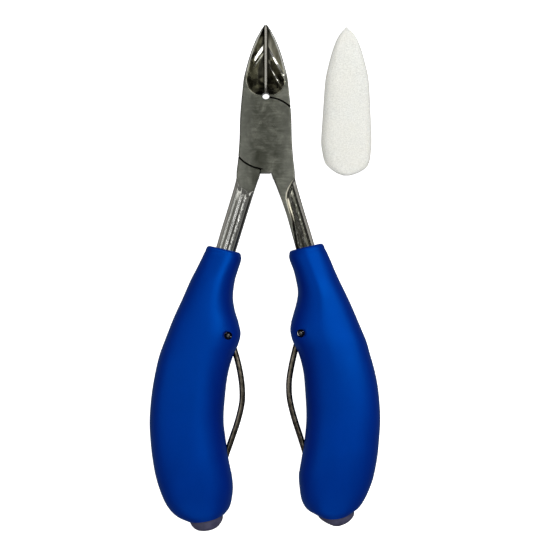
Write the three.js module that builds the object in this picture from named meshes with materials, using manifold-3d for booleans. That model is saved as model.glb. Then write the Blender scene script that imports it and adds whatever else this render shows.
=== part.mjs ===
import * as THREE from 'three';
import { mergeVertices } from 'three/addons/utils/BufferGeometryUtils.js';
import Module from 'manifold-3d';

// Lap-joint nippers with sprung, moulded handles and a loose tip guard. Millimetres.
// The tool lies flat: +Y towards the jaw tips, +Z up through the joint.
// Origin: the pivot axis where it meets the back face of the joint.

// Joint
const HEAD_T = 8; // thickness of the joint, back face to front face
const MID_Z = HEAD_T / 2;
const LAYER_GAP = 0.1; // running gap between the two lap plates
const LAP_R = 11.3; // shoulder arcs, about the pivot
const LAP_GAP = 0.35;
const RIVET_R = 3.4;
const RIVET_CLEAR = 0.05;
const THROAT_R = 1.15; // relief hole at the root of the jaws
const THROAT_Y = 11.8;
const CROTCH_Y = -12.4;

// Jaws
const JAW_GAP = 0.05; // from each cutting face to the centre plane
const TIP_Y = 34.6;
const LAND = 0.38; // half width of the pair of cutting lands
const LAND_H = 0.45;
const RIM = 0.6; // width of the rim round each scoop
const SCOOP_Y = 11.9;
const HEAD_HALF_WIDTH = [
  [-14.2, 9.4], [-11.4, 9.1], [-8.2, 8.7], [-1.9, 8.25], [4.4, 8.1], [9.2, 7.75],
  [13.9, 7.3], [17.1, 6.95], [20.2, 6.25], [23.4, 5.4], [26.6, 4.4], [29.7, 3.2],
  [31.3, 2.4], [32.9, 1.55], [34.0, 0.8], [TIP_Y, 0.4],
];

// Shanks and tangs: centreline, half width, half thickness
const SHANK = [
  [5.2, -12.4, 3.3, 3.7], [6.5, -16.5, 3.2, 3.7], [8.95, -24.5, 3.15, 3.4],
  [11.4, -32.5, 3.15, 3.2], [14.1, -41.5, 3.0, 3.0], [17.0, -50.5, 2.8, 2.6],
  [20.0, -61.0, 2.6, 2.2], [22.6, -74.0, 2.5, 2.2], [23.9, -88.0, 2.4, 2.2],
  [23.0, -102.0, 2.2, 2.0], [21.6, -110.0, 1.6, 1.6],
];

// Grips: inner point, outer point, half thickness, sag of the middle
const LEFT_GRIP = [
  [8.7, -37.9, 18.1, -36.3, 4.7, 0], [7.7, -38.6, 19.2, -37.0, 5.6, 0],
  [7.7, -40.2, 20.5, -39.6, 6.1, 0], [8.6, -43.0, 22.2, -43.0, 6.7, 0],
  [9.6, -46.4, 24.0, -46.5, 7.3, 0], [10.2, -51.5, 26.4, -52.0, 7.9, 0],
  [9.6, -55.8, 28.5, -56.5, 8.3, 0], [8.3, -60.0, 30.0, -60.0, 8.6, 0],
  [7.7, -63.2, 31.3, -63.4, 8.8, 0], [8.4, -66.4, 32.5, -66.5, 8.9, 0],
  [10.1, -70.2, 33.8, -70.2, 9.0, 0], [11.7, -75.8, 35.1, -75.8, 9.1, 0],
  [12.6, -82.5, 36.2, -82.5, 9.2, 0], [13.1, -90.4, 36.8, -90.4, 9.2, 0],
  [12.4, -97.0, 36.5, -97.0, 9.1, 0], [11.6, -102.5, 35.8, -103.1, 9.0, 0],
  [10.7, -107.0, 34.6, -109.2, 8.7, 0], [10.2, -111.5, 32.5, -115.2, 8.2, 0.2],
  [10.6, -115.6, 30.3, -118.8, 7.5, 0.4], [11.4, -118.2, 27.8, -121.0, 6.8, 0.6],
  [12.8, -120.0, 24.6, -122.4, 6.0, 0.7],
];
const RIGHT_GRIP = [
  [8.3, -37.3, 17.6, -35.5, 4.7, 0], [7.3, -38.0, 18.8, -36.2, 5.6, 0],
  [7.4, -39.8, 20.3, -39.2, 6.1, 0], [8.6, -43.0, 21.9, -43.0, 6.7, 0],
  [9.4, -46.2, 23.5, -46.5, 7.3, 0], [10.0, -50.0, 25.3, -50.2, 7.8, 0],
  [9.5, -53.6, 27.0, -53.8, 8.1, 0], [8.5, -57.2, 28.6, -57.5, 8.4, 0],
  [7.5, -61.5, 30.4, -61.8, 8.7, 0], [8.2, -65.3, 31.9, -65.4, 8.9, 0],
  [10.2, -69.6, 33.1, -69.6, 9.0, 0], [11.6, -75.0, 34.6, -75.0, 9.1, 0],
  [12.2, -81.0, 35.7, -81.0, 9.2, 0], [12.6, -89.5, 36.3, -89.5, 9.2, 0],
  [12.0, -97.0, 35.9, -97.0, 9.1, 0], [11.1, -102.4, 35.3, -102.6, 9.0, 0],
  [10.3, -107.6, 34.1, -108.6, 8.7, 0], [10.6, -112.4, 32.6, -112.8, 8.2, 0.3],
  [11.3, -116.0, 31.1, -115.8, 7.5, 0.7], [12.9, -118.6, 29.6, -117.9, 6.8, 1.2],
  [15.3, -120.0, 27.8, -119.2, 6.0, 1.6],
];
const SKIN_T = 2.4; // thickness of the soft skin over the core
const FIT = 0.15; // clearance round a piece held in another
const CORE_FIRST = 3; // first grip station that the core reaches
const CORE_LAST = 18;
const LEFT_LOBE = [
  [13.9, -118.0, 24.6, -120.4, 4.8, 0.3], [13.8, -121.0, 23.8, -123.0, 4.7, 0.3],
  [14.4, -122.6, 22.9, -124.3, 4.2, 0.3], [15.6, -124.0, 21.7, -125.1, 3.4, 0.3],
  [17.3, -124.9, 20.2, -125.4, 2.0, 0.1],
];
const RIGHT_LOBE = [
  [16.5, -118.6, 27.4, -117.4, 4.8, 0.5], [16.6, -120.8, 28.0, -119.8, 4.7, 0.6],
  [17.5, -121.9, 27.3, -121.4, 4.2, 0.6], [19.1, -122.9, 25.9, -122.7, 3.4, 0.5],
  [20.9, -123.7, 24.1, -123.6, 2.0, 0.2],
];

// Springs
const WIRE_R = 0.95;
const EYE_R = 1.95; // centreline radius of the eye round the pin
const SLOT_W = 2.6; // width of the spring slot
const PIN_R = 0.9;
const PIN_HOLE_R = 1.3; // hole through the skin over each pin end
const PIN_RECESS = 0.6;
const LEFT_PIN = [11.8, -63.6];
const RIGHT_PIN = [11.0, -62.9];
const LEFT_WIRE = [
  [11.0, -65.5], [10.0, -68.0], [8.6, -73.0], [7.7, -78.0], [7.4, -82.5], [7.7, -86.0],
  [9.0, -91.2], [10.9, -96.8], [12.3, -100.8], [13.0, -103.0], [13.2, -104.6],
];
const RIGHT_WIRE = [
  [10.3, -64.8], [9.4, -67.8], [8.2, -73.0], [7.4, -78.0], [7.4, -82.3], [8.0, -86.0],
  [9.3, -90.8], [11.0, -96.0], [12.4, -100.4], [13.0, -102.6], [13.2, -104.2],
];
const SLOT = [
  [15.2, -59.5], [15.2, -67.0], [16.0, -80.0], [16.4, -94.0], [15.8, -106.8],
  [4.5, -106.8], [4.5, -59.5],
];

// Tip guard: station along Y, left side, right side, half thickness
const GUARD = [
  [-12.8, 24.2, 27.2, 4.0], [-12.1, 22.0, 29.6, 4.1], [-10.6, 19.9, 31.9, 4.2],
  [-8.2, 18.6, 33.1, 4.3], [-5.0, 17.9, 33.5, 4.4], [-1.9, 17.6, 33.7, 4.4],
  [6.0, 18.1, 33.4, 4.4], [17.1, 18.9, 32.8, 4.3], [22.5, 20.0, 31.7, 4.0],
  [26.6, 21.1, 30.6, 3.6], [29.6, 22.2, 29.5, 3.1], [31.6, 23.2, 28.4, 2.6],
  [33.0, 24.3, 27.1, 1.9], [33.8, 25.1, 26.1, 0.9],
];
const GUARD_WALL = 1.1;
const REST_Z = MID_Z - 9.2; // the surface that the grips and the guard lie on
const GUARD_MID_Z = REST_Z + 4.4;

const ROUND = 20; // points round a grip section
const wasm = await Module();
wasm.setup();

function solid(geometry) {
  const bare = new THREE.BufferGeometry();
  bare.setAttribute('position', geometry.getAttribute('position').clone());
  if (geometry.index) bare.setIndex(geometry.index.clone());
  const merged = mergeVertices(bare, 1e-5);
  return new wasm.Manifold(new wasm.Mesh({
    numProp: 3,
    vertProperties: new Float32Array(merged.getAttribute('position').array),
    triVerts: new Uint32Array(merged.index.array),
  }));
}

function geometryOf(body) {
  const mesh = body.getMesh();
  const geometry = new THREE.BufferGeometry();
  geometry.setAttribute('position', new THREE.Float32BufferAttribute(mesh.vertProperties, 3));
  geometry.setIndex(Array.from(mesh.triVerts));
  const flat = geometry.toNonIndexed();
  flat.computeVertexNormals();
  return flat;
}

const union = (...bodies) => wasm.Manifold.union(bodies);
const minus = (body, ...cuts) => cuts.reduce((left, cut) => left.subtract(cut), body);

function prism(points, z0, z1) {
  const shape = new THREE.Shape(points.map(([x, y]) => new THREE.Vector2(x, y)));
  const geometry = new THREE.ExtrudeGeometry(shape, { depth: z1 - z0, bevelEnabled: false });
  geometry.translate(0, 0, z0);
  return solid(geometry);
}

function post(x, y, radius, z0, z1, sides) {
  const geometry = new THREE.CylinderGeometry(radius, radius, z1 - z0, sides);
  geometry.rotateX(Math.PI / 2);
  geometry.translate(x, y, (z0 + z1) / 2);
  return solid(geometry);
}

// A closed skin over rings of points, each ring the same length.
function loft(rings) {
  const count = rings[0].length;
  const points = rings.flat();
  const faces = [];
  for (let i = 0; i + 1 < rings.length; i++) {
    for (let j = 0; j < count; j++) {
      const a = i * count + j;
      const b = i * count + ((j + 1) % count);
      faces.push(a, b, b + count, a, b + count, a + count);
    }
  }
  for (const [first, turned] of [[0, true], [rings.length - 1, false]]) {
    const middle = points.length;
    const sum = rings[first].reduce((s, p) => s.map((v, k) => v + p[k]), [0, 0, 0]);
    points.push(sum.map((v) => v / count));
    for (let j = 0; j < count; j++) {
      const a = first * count + j;
      const b = first * count + ((j + 1) % count);
      faces.push(...(turned ? [middle, b, a] : [middle, a, b]));
    }
  }
  const geometry = new THREE.BufferGeometry();
  geometry.setAttribute('position', new THREE.Float32BufferAttribute(points.flat(), 3));
  geometry.setIndex(faces);
  const body = solid(geometry);
  if (body.volume() > 0) return body;
  geometry.setIndex(faces.map((v, k) => faces[k - (k % 3) + [0, 2, 1][k % 3]]));
  return solid(geometry);
}

// A section from an inner to an outer point, squarer than an ellipse by its power.
function section([xi, yi, xo, yo, half, sag = 0], grow = 0, z = MID_Z, power = 2.5, n = ROUND) {
  const length = Math.hypot(xo - xi, yo - yi);
  const [dx, dy] = [(xo - xi) / length, (yo - yi) / length];
  const a = length / 2 + grow;
  const b = half + grow;
  const squared = (v) => Math.sign(v) * Math.abs(v) ** (2 / power);
  return Array.from({ length: n }, (_, k) => {
    const t = (2 * Math.PI * (k + 0.5)) / n;
    const u = squared(Math.cos(t));
    const w = squared(Math.sin(t));
    const x = (xi + xo) / 2 + a * u * dx;
    const y = (yi + yo) / 2 + a * u * dy - sag * (1 - u * u);
    return [x, y, z + b * w];
  });
}

function halfWidth(y) {
  const table = HEAD_HALF_WIDTH;
  const k = Math.max(1, table.findIndex(([at]) => at >= y));
  const [y0, w0] = table[k - 1];
  const [y1, w1] = table[k];
  return w0 + ((w1 - w0) * (y - y0)) / (y1 - y0);
}

const along = (y) => Math.min(1, Math.max(0, (y - 14) / (TIP_Y - 14)));
const rimZ = (y) => HEAD_T - 4.6 * along(y) ** 1.15;
const backZ = (y) => 1.5 * along(y) ** 1.6;
const floorZ = (y) => 2.2 + 0.4 * along(y);

// The front of a jaw: a rim, a hollow-ground scoop and a narrow raised cutting land.
function jawFront(u, y) {
  const w = halfWidth(y);
  const land = Math.min(LAND, 0.3 * w);
  const edge = w - Math.min(RIM, 0.25 * w);
  const across = Math.min(1, Math.max(0, (u - land - 0.15) / Math.max(0.01, edge - land - 0.15)));
  const start = SCOOP_Y + 3.6 * (u / 6.1) ** 3.9;
  const into = Math.min(1, Math.max(0, (y - start) / 6.5));
  const depth = 1 - (1 - into) ** 2.6;
  const low = floorZ(y) + (rimZ(y) - floorZ(y)) * across ** 2.1 + (u <= land ? LAND_H : 0);
  return rimZ(y) - (rimZ(y) - Math.min(low, rimZ(y))) * depth;
}

function jawBack(u, y) {
  return backZ(y) + 1.1 * along(y) ** 0.5 * (u / halfWidth(y)) ** 5;
}

const JAW_ROWS = [
  7, 11, 12, 12.6, 13.3, 14, 15, 16, 17.1, 18.6, 20.2, 23.4, 26.6, 29.7, 31.3, 32.9, 34, TIP_Y,
];

// One jaw as a slab between its front and back surfaces, on the side that sign gives.
function jaw(sign) {
  const rows = JAW_ROWS.map((y) => {
    const w = halfWidth(y);
    const land = Math.min(LAND, 0.3 * w);
    const edge = w - Math.min(RIM, 0.25 * w);
    const scoop = [0.04, 0.2, 0.4, 0.6, 0.8, 1].map((s) => land + (edge - land) * s);
    return [JAW_GAP, land, ...scoop, w].map((u) => [sign * u, y, jawFront(u, y), jawBack(u, y)]);
  });
  const count = rows[0].length;
  const rings = rows.map((row) => [
    ...row.map(([x, y, top]) => [x, y, top]),
    ...row.map(([x, y, , low]) => [x, y, low]).reverse(),
  ]);
  return loft(rings, count);
}

const quarter = (z0, z1) => post(0, 0, LAP_R + LAP_GAP / 2, z0, z1, 96);
const throat = () => post(0, THROAT_Y, THROAT_R, -1, HEAD_T + 1, 24);
const UPPER = MID_Z + LAYER_GAP / 2;

// The front lap plate, cut back to the shoulder arcs, with its straight foot.
function lapPlate() {
  const ys = HEAD_HALF_WIDTH.map(([y]) => y).filter((y) => y < 12);
  const right = [...ys, 12].map((y) => [halfWidth(y), y]);
  const left = right.map(([x, y]) => [-x, y]).reverse();
  const blank = prism([...right, ...left], UPPER, HEAD_T);
  const disc = post(0, 0, LAP_R - LAP_GAP / 2, UPPER, HEAD_T, 96);
  const foot = prism([[-1.5, CROTCH_Y], [2.6, CROTCH_Y], [2.6, -9], [-1.5, -9]], UPPER, HEAD_T);
  return union(blank.intersect(disc), foot);
}

// The ground flats at the top of the shank: the front one runs out in a crescent.
const FLAT_FRONT = [
  [1.85, -9], [1.85, CROTCH_Y], [4.3, -18], [6.5, -24.7], [8.05, -29.3], [8.2, -28],
  [7.9, -25.8], [7.2, -23.4], [6.7, -20.8], [6.9, -18.6], [7.6, -16.6], [9.4, -14.2],
  [9.1, -11.4], [8.7, -8.2], [8.4, -4],
];
const FLAT_BACK = [
  [1.85, -9], [1.85, CROTCH_Y], [4.5, -18.6], [6.2, -19.2], [8.2, -18.2], [9.6, -15.6],
  [9.4, -14.2], [9.1, -11.4], [8.7, -8.2], [8.4, -4],
];

function shankRing([x, y, half, thick], [tx, ty], grow, extra = 0) {
  const ends = [
    x + ty * half, y - tx * half, x - ty * half, y + tx * half,
  ];
  const shifted = ends.map((v, k) => v + (k % 2 ? ty : tx) * extra);
  return section([...shifted, thick], grow, MID_Z, 2.9, 16);
}

function shankBar(grow = 0) {
  const spots = SHANK.map(([x, y]) => new THREE.Vector2(x, y));
  const rings = SHANK.map((station, k) => {
    const from = spots[Math.max(0, k - 1)];
    const to = spots[Math.min(spots.length - 1, k + 1)];
    const way = to.clone().sub(from).normalize();
    const last = k === spots.length - 1;
    return shankRing(station, [way.x, way.y], grow, last ? grow : 0);
  });
  return loft(rings);
}

// Everything of one lever except its jaw: front plate, shank and tang on the right.
function leverStem() {
  const cut = quarter(-1, UPPER);
  const front = prism(FLAT_FRONT, MID_Z - 0.5, HEAD_T);
  const back = prism(FLAT_BACK, 0, MID_Z + 0.5);
  return union(lapPlate(), minus(union(front, back, shankBar()), cut));
}

function bored(body) {
  return minus(body, post(0, 0, RIVET_R + RIVET_CLEAR, -1, HEAD_T + 1, 64), throat());
}

// Half a turn about the long axis through the middle of the joint.
const turned = (body) => body.rotate([0, 180, 0]).translate([0, 0, HEAD_T]);

function rightLever() {
  return bored(union(leverStem(), minus(jaw(-1), quarter(-1, UPPER))));
}

function leftLever() {
  const other = minus(jaw(1), quarter(HEAD_T - UPPER, HEAD_T + 1));
  return bored(union(turned(leverStem()), other));
}

const mirrored = (body, sign) => (sign < 0 ? body.mirror([1, 0, 0]) : body);

// The hard core in a grip: the grip's form less its skin, ending in a rounded lobe.
function coreForm(stations, lobe, grow) {
  const inside = stations.slice(CORE_FIRST, CORE_LAST);
  return loft([
    ...inside.map((s) => section(s, grow - SKIN_T - FIT)),
    ...lobe.map((s) => section(s, grow)),
  ]);
}

function slot() {
  return prism(SLOT, MID_Z - SLOT_W / 2, MID_Z + SLOT_W / 2);
}

function core(stations, lobe, [px, py]) {
  return minus(
    coreForm(stations, lobe, 0),
    shankBar(FIT),
    slot(),
    post(px, py, PIN_R + 0.05, -9, HEAD_T + 9, 24),
  );
}

function grip(stations, lobe, [px, py]) {
  return minus(
    loft(stations.map((s) => section(s))),
    coreForm(stations, lobe, FIT),
    shankBar(FIT),
    slot(),
    post(px, py, PIN_HOLE_R, -9, HEAD_T + 9, 24),
  );
}

// Height of the grip's surface over the pin, from its section there.
function surfaceHalf(stations, [px, py]) {
  const k = stations.findIndex((s) => s[1] < py);
  const [xi, , xo, , half] = stations[k];
  const u = Math.abs((2 * px - xi - xo) / (xo - xi));
  return half * (1 - u ** 2.5) ** (1 / 2.5);
}

function pin(stations, at) {
  const reach = surfaceHalf(stations, at) - PIN_RECESS;
  return post(at[0], at[1], PIN_R, MID_Z - reach, MID_Z + reach, 24);
}

function spring(wire, [px, py]) {
  const points = wire.map(([x, y]) => new THREE.Vector3(x, y, MID_Z));
  const path = new THREE.CatmullRomCurve3(points);
  const round = new THREE.Shape();
  round.absarc(0, 0, WIRE_R, 0, 2 * Math.PI);
  const options = { steps: 24, extrudePath: path, bevelEnabled: false, curveSegments: 4 };
  const bow = solid(new THREE.ExtrudeGeometry(round, options));
  const ring = new THREE.TorusGeometry(EYE_R, WIRE_R, 8, 24);
  ring.translate(px, py, MID_Z);
  return union(bow, solid(ring));
}

function tipGuard() {
  const sides = ([y, x0, x1, half]) => [x0, y, x1, y, half];
  const outer = loft(GUARD.map((s) => section(sides(s), 0, GUARD_MID_Z, 2.8)));
  const hollow = GUARD.filter(([y]) => y > -8 && y < 33);
  const mouth = [-16, -8].map((y) => [y, 17.9, 33.5, 4.4]);
  const rows = [...mouth, ...hollow].map((s) => section(sides(s), -GUARD_WALL, GUARD_MID_Z, 2.8));
  return minus(outer, loft(rows));
}

const group = new THREE.Group();
group.name = 'mosaic_glass_nippers';

function add(name, body, color, metalness, roughness) {
  const material = new THREE.MeshStandardMaterial({ color, metalness, roughness });
  material.name = name;
  const mesh = new THREE.Mesh(geometryOf(body), material);
  mesh.name = name;
  group.add(mesh);
}

const STEEL = [0x6e6e68, 0.9, 0.45];
const WIRE = [0x8a857a, 0.9, 0.35];
const SLATE = [0x4b4664, 0.0, 0.6];
const BLUE = [0x0a3a9c, 0.1, 0.5];

add('left_lever', leftLever(), ...STEEL);
add('right_lever', rightLever(), ...STEEL);
add('pivot_rivet', post(0, 0, RIVET_R, 0, HEAD_T, 64), ...STEEL);
const halves = [
  ['left', -1, LEFT_GRIP, LEFT_LOBE, LEFT_PIN, LEFT_WIRE],
  ['right', 1, RIGHT_GRIP, RIGHT_LOBE, RIGHT_PIN, RIGHT_WIRE],
];
for (const [side, sign, stations, lobe, at, wire] of halves) {
  add(`${side}_grip`, mirrored(grip(stations, lobe, at), sign), ...BLUE);
  add(`${side}_core`, mirrored(core(stations, lobe, at), sign), ...SLATE);
  add(`${side}_spring_pin`, mirrored(pin(stations, at), sign), ...WIRE);
  add(`${side}_spring`, mirrored(spring(wire, at), sign), ...WIRE);
}
add('tip_guard', tipGuard(), 0xf1efe8, 0.0, 0.5);

export default group;
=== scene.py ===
import bpy
import math
import numpy as np
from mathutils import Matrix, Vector


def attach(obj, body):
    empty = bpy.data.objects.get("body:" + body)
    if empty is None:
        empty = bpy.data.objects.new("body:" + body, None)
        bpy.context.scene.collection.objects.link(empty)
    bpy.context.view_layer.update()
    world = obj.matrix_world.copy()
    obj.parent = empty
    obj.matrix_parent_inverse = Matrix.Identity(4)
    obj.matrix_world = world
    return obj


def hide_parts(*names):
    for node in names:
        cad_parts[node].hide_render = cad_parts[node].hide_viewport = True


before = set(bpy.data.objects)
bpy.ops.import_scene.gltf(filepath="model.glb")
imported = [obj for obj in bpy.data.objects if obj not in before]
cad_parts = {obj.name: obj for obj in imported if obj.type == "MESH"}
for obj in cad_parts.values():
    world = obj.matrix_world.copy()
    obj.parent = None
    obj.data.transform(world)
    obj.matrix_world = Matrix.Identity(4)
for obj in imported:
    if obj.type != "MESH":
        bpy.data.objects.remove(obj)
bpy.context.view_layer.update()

# Sizes in millimetres, as in the part's source. The head lies between z 0 and HEAD_T.
HEAD_T, MID_Z = 8.0, 4.0
UPPER = 4.05  # underside of the front lap plate
LAP_R, LAP_GAP = 11.3, 0.35  # the arcs that bound the lap plates
RIVET_R = 3.4
THROAT = (0.05, 11.8, 1.15)  # x, y and radius of the round hole behind the jaws
CROTCH_Y = -12.4
TIP_Y = 34.6
JAW_X = -0.01  # the left jaw's meeting face; the right one's is its mirror image
# The cutting land's half width and height, the rim's width and where the scoops begin.
LAND, LAND_H, RIM, SCOOP_Y = 0.38, 0.45, 0.6, 11.9
RIM_DROP, RIM_POWER = 4.6, 1.15  # how the jaws' front slopes down to the tips
HEAD_MAX = 9.22  # the head is ground to this half width
# y, half width
HEAD_HALF_WIDTH = [
    (-14.2, 9.4), (-11.4, 9.1), (-8.2, 8.7), (-1.9, 8.25), (4.4, 8.1), (9.2, 7.75),
    (13.9, 7.3), (17.1, 6.95), (20.2, 6.25), (23.4, 5.4), (26.6, 4.4), (29.7, 3.2),
    (31.3, 2.4), (32.9, 1.55), (34.0, 0.8), (34.6, 0.4),
]
# Right side of the tool: x, y, half width, half thickness along the shank and tang.
SHANK = [
    (5.35, -12.4, 3.45, 3.7), (6.5, -16.5, 3.22, 3.7), (8.95, -24.5, 3.15, 3.4),
    (11.4, -32.5, 3.15, 3.2), (14.1, -41.5, 3.0, 3.0), (17.0, -50.5, 2.8, 2.6),
    (20.0, -61.0, 2.6, 2.2), (22.6, -74.0, 2.5, 2.2), (23.9, -88.0, 2.4, 2.2),
    (23.0, -102.0, 2.2, 2.0), (21.6, -110.0, 1.6, 1.6),
]
# x and half width of the right shank's first rows, which are slimmer than the left's.
NARROW = [(5.35, 3.45), (6.65, 3.1), (9.2, 2.85), (11.55, 2.95)]
# Sections of the handles: x, y of the inner and outer end, half thickness, sag of the middle.
# The left side's tables are drawn on the right and mirrored.
LEFT_GRIP = [
    (8.7, -37.9, 18.1, -36.3, 4.7, 0), (7.7, -38.6, 19.2, -37.0, 5.6, 0),
    (7.7, -40.2, 20.5, -39.6, 6.1, 0), (8.6, -43.0, 22.2, -43.0, 6.7, 0),
    (9.6, -46.4, 24.0, -46.5, 7.3, 0), (10.2, -51.5, 26.4, -52.0, 7.9, 0),
    (9.6, -55.8, 28.5, -56.5, 8.3, 0), (8.3, -60.0, 30.0, -60.0, 8.6, 0),
    (7.7, -63.2, 31.3, -63.4, 8.8, 0), (8.4, -66.4, 32.5, -66.5, 8.9, 0),
    (10.1, -70.2, 33.8, -70.2, 9.0, 0), (11.7, -75.8, 35.1, -75.8, 9.1, 0),
    (12.6, -82.5, 36.2, -82.5, 9.2, 0), (13.1, -90.4, 36.8, -90.4, 9.2, 0),
    (12.4, -97.0, 36.5, -97.0, 9.1, 0), (11.6, -102.5, 35.8, -103.1, 9.0, 0),
    (10.7, -107.0, 34.6, -109.2, 8.7, 0), (10.2, -111.5, 32.5, -115.2, 8.2, 0.2),
    (10.6, -115.6, 30.3, -118.8, 7.5, 0.4), (11.4, -118.2, 27.8, -121.0, 6.8, 0.6),
    (12.8, -120.0, 24.6, -122.4, 6.0, 0.7),
]
RIGHT_GRIP = [
    (8.3, -37.3, 17.6, -35.5, 4.7, 0), (7.3, -38.0, 18.8, -36.2, 5.6, 0),
    (7.4, -39.8, 20.3, -39.2, 6.1, 0), (8.6, -43.0, 21.9, -43.0, 6.7, 0),
    (9.4, -46.2, 23.5, -46.5, 7.3, 0), (10.0, -50.0, 25.3, -50.2, 7.8, 0),
    (9.5, -53.6, 27.0, -53.8, 8.1, 0), (8.5, -57.2, 28.6, -57.5, 8.4, 0),
    (7.5, -61.5, 30.4, -61.8, 8.7, 0), (8.2, -65.3, 31.9, -65.4, 8.9, 0),
    (10.2, -69.6, 33.1, -69.6, 9.0, 0), (11.6, -75.0, 34.6, -75.0, 9.1, 0),
    (12.2, -81.0, 35.7, -81.0, 9.2, 0), (12.6, -89.5, 36.3, -89.5, 9.2, 0),
    (12.0, -97.0, 35.9, -97.0, 9.1, 0), (11.1, -102.4, 35.3, -102.6, 9.0, 0),
    (10.3, -107.6, 34.1, -108.6, 8.7, 0), (10.6, -112.4, 32.6, -112.8, 8.2, 0.3),
    (11.3, -116.0, 31.1, -115.8, 7.5, 0.7), (12.9, -118.6, 29.6, -117.9, 6.8, 1.2),
    (15.3, -120.0, 27.8, -119.2, 6.0, 1.6),
]
SKIN_T, FIT = 2.4, 0.15  # the skin's thickness and its clearance round the core
GRIP_GROW = -0.13  # keeps the fine grip inside the CAD grip's box
CORE_FIRST, CORE_LAST = 3, 18  # the rows of a grip's table that its core fills
# Inset and rise of the rings that round off a collar's top.
COLLAR = [(1.4, 1.9), (1.0, 1.84), (0.68, 1.66), (0.42, 1.32), (0.25, 0.85), (0.16, 0.4)]
COLLAR_AT = 8  # the collar springs from this ring of the grip
# Sections of the lobes at the ends of the cores, in the handles' form.
LEFT_LOBE = [
    (13.8, -118.0, 24.6, -120.4, 4.8, 0.3), (13.5, -121.1, 23.8, -123.0, 4.7, 0.3),
    (14.1, -122.8, 22.9, -124.3, 4.2, 0.3), (15.3, -124.25, 21.7, -125.1, 3.4, 0.3),
    (17.0, -125.05, 20.2, -125.38, 2.0, 0.1),
]
RIGHT_LOBE = [
    (16.5, -118.6, 27.4, -117.4, 4.8, 0.5), (16.6, -120.8, 28.0, -119.8, 4.7, 0.6),
    (17.5, -121.9, 27.3, -121.4, 4.2, 0.6), (19.1, -122.9, 25.9, -122.7, 3.4, 0.5),
    (20.9, -123.7, 24.1, -123.6, 2.0, 0.2),
]
# The springs: wire, eye, pin and its hole, then each wire's path from the eye down.
WIRE_R, EYE_R, PIN_R, PIN_HOLE_R = 0.95, 1.95, 0.9, 1.3
LEFT_PIN, RIGHT_PIN = (11.8, -63.6), (11.0, -62.9)
LEFT_WIRE = [
    (11.0, -65.5), (10.0, -68.0), (8.6, -73.0), (7.7, -78.0), (7.4, -82.5), (7.7, -86.0),
    (9.0, -91.2), (10.9, -96.8), (12.3, -100.8), (13.0, -103.0), (13.2, -104.6),
]
RIGHT_WIRE = [
    (10.3, -64.8), (9.4, -67.8), (8.2, -73.0), (7.4, -78.0), (7.4, -82.3), (8.0, -86.0),
    (9.3, -90.8), (11.0, -96.0), (12.4, -100.4), (13.0, -102.6), (13.2, -104.2),
]
# Outline of the spring slot.
SLOT = [
    (15.2, -59.5), (15.2, -67.0), (16.0, -80.0), (16.4, -94.0), (15.8, -106.8),
    (4.5, -106.8), (4.5, -59.5),
]
SLOT_HALF = 1.3
# y, left x, right x, half thickness along the tip guard.
GUARD = [
    (-12.8, 24.2, 27.2, 4.0), (-12.1, 22.0, 29.6, 4.1), (-10.6, 19.9, 31.9, 4.2),
    (-8.2, 18.6, 33.1, 4.3), (-5.0, 17.9, 33.5, 4.4), (-1.9, 17.6, 33.7, 4.4),
    (6.0, 18.1, 33.4, 4.4), (17.1, 18.9, 32.8, 4.3), (22.5, 20.0, 31.7, 4.0),
    (26.6, 21.1, 30.6, 3.6), (29.6, 22.2, 29.5, 3.1), (31.6, 23.2, 28.4, 2.6),
    (33.0, 24.3, 27.1, 1.9), (33.8, 25.0, 26.3, 1.1), (34.35, 25.5, 25.85, 0.5),
]
GUARD_WALL = 1.1
GUARD_THIN = 0.985  # keeps the fine guard inside the CAD guard's box
REST_Z = MID_Z - 9.2  # the surface that the tool lies on
GUARD_MID_Z = REST_Z + 4.4
# Painted highlights, and painted shade between them, across the left shank as base colour: distance
# from its middle line and grey level.
STREAKS = [
    (-1.5, 72), (-1.0, 84), (-0.65, 185), (-0.2, 66), (0.15, 220), (0.45, 200), (0.8, 120),
    (1.1, 64), (1.35, 64), (1.65, 240), (2.0, 240), (2.35, 150), (2.6, 62), (3.0, 62),
    (3.25, 120), (3.5, 200), (3.75, 130),
]
STREAK_SHIFT = 0.25
SHANK_LEAN = 0.308  # how far the shanks' middle lines move out per millimetre down


# Mesh helpers

def mesh_object(name, points, faces):
    """An object from points in millimetres."""
    mesh = bpy.data.meshes.new(name)
    mesh.from_pydata((np.asarray(points, float) / 1000).tolist(), [], faces)
    mesh.validate()
    mesh.update()
    obj = bpy.data.objects.new(name, mesh)
    bpy.context.scene.collection.objects.link(obj)
    return obj


def spline(rows, per):
    """Points through the rows of a table, on a Catmull-Rom curve, per to a span."""
    rows = np.asarray(rows, float)
    padded = np.vstack([2 * rows[0] - rows[1], rows, 2 * rows[-1] - rows[-2]])
    out = []
    for k in range(len(rows) - 1):
        p0, p1, p2, p3 = padded[k:k + 4]
        for t in np.arange(per) / per:
            out.append(0.5 * (
                2 * p1 + (p2 - p0) * t
                + (2 * p0 - 5 * p1 + 4 * p2 - p3) * t ** 2
                + (3 * p1 - p0 - 3 * p2 + p3) * t ** 3
            ))
    out.append(rows[-1])
    return np.array(out)


def loft(name, rings):
    """A closed solid through equal rings of points, capped at both ends."""
    rings = np.asarray(rings, float)
    count, around = rings.shape[:2]
    points = rings.reshape(-1, 3)
    faces = []
    for i in range(count - 1):
        for j in range(around):
            a = i * around + j
            b = i * around + (j + 1) % around
            faces.append((a, b, b + around, a + around))
    points = np.vstack([points, rings[0].mean(0), rings[-1].mean(0)])
    first, last = count * around, count * around + 1
    for j in range(around):
        k = (j + 1) % around
        faces.append((first, k, j))
        base = (count - 1) * around
        faces.append((last, base + j, base + k))
    obj = mesh_object(name, points, faces)
    face_out(obj)
    return obj


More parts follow.
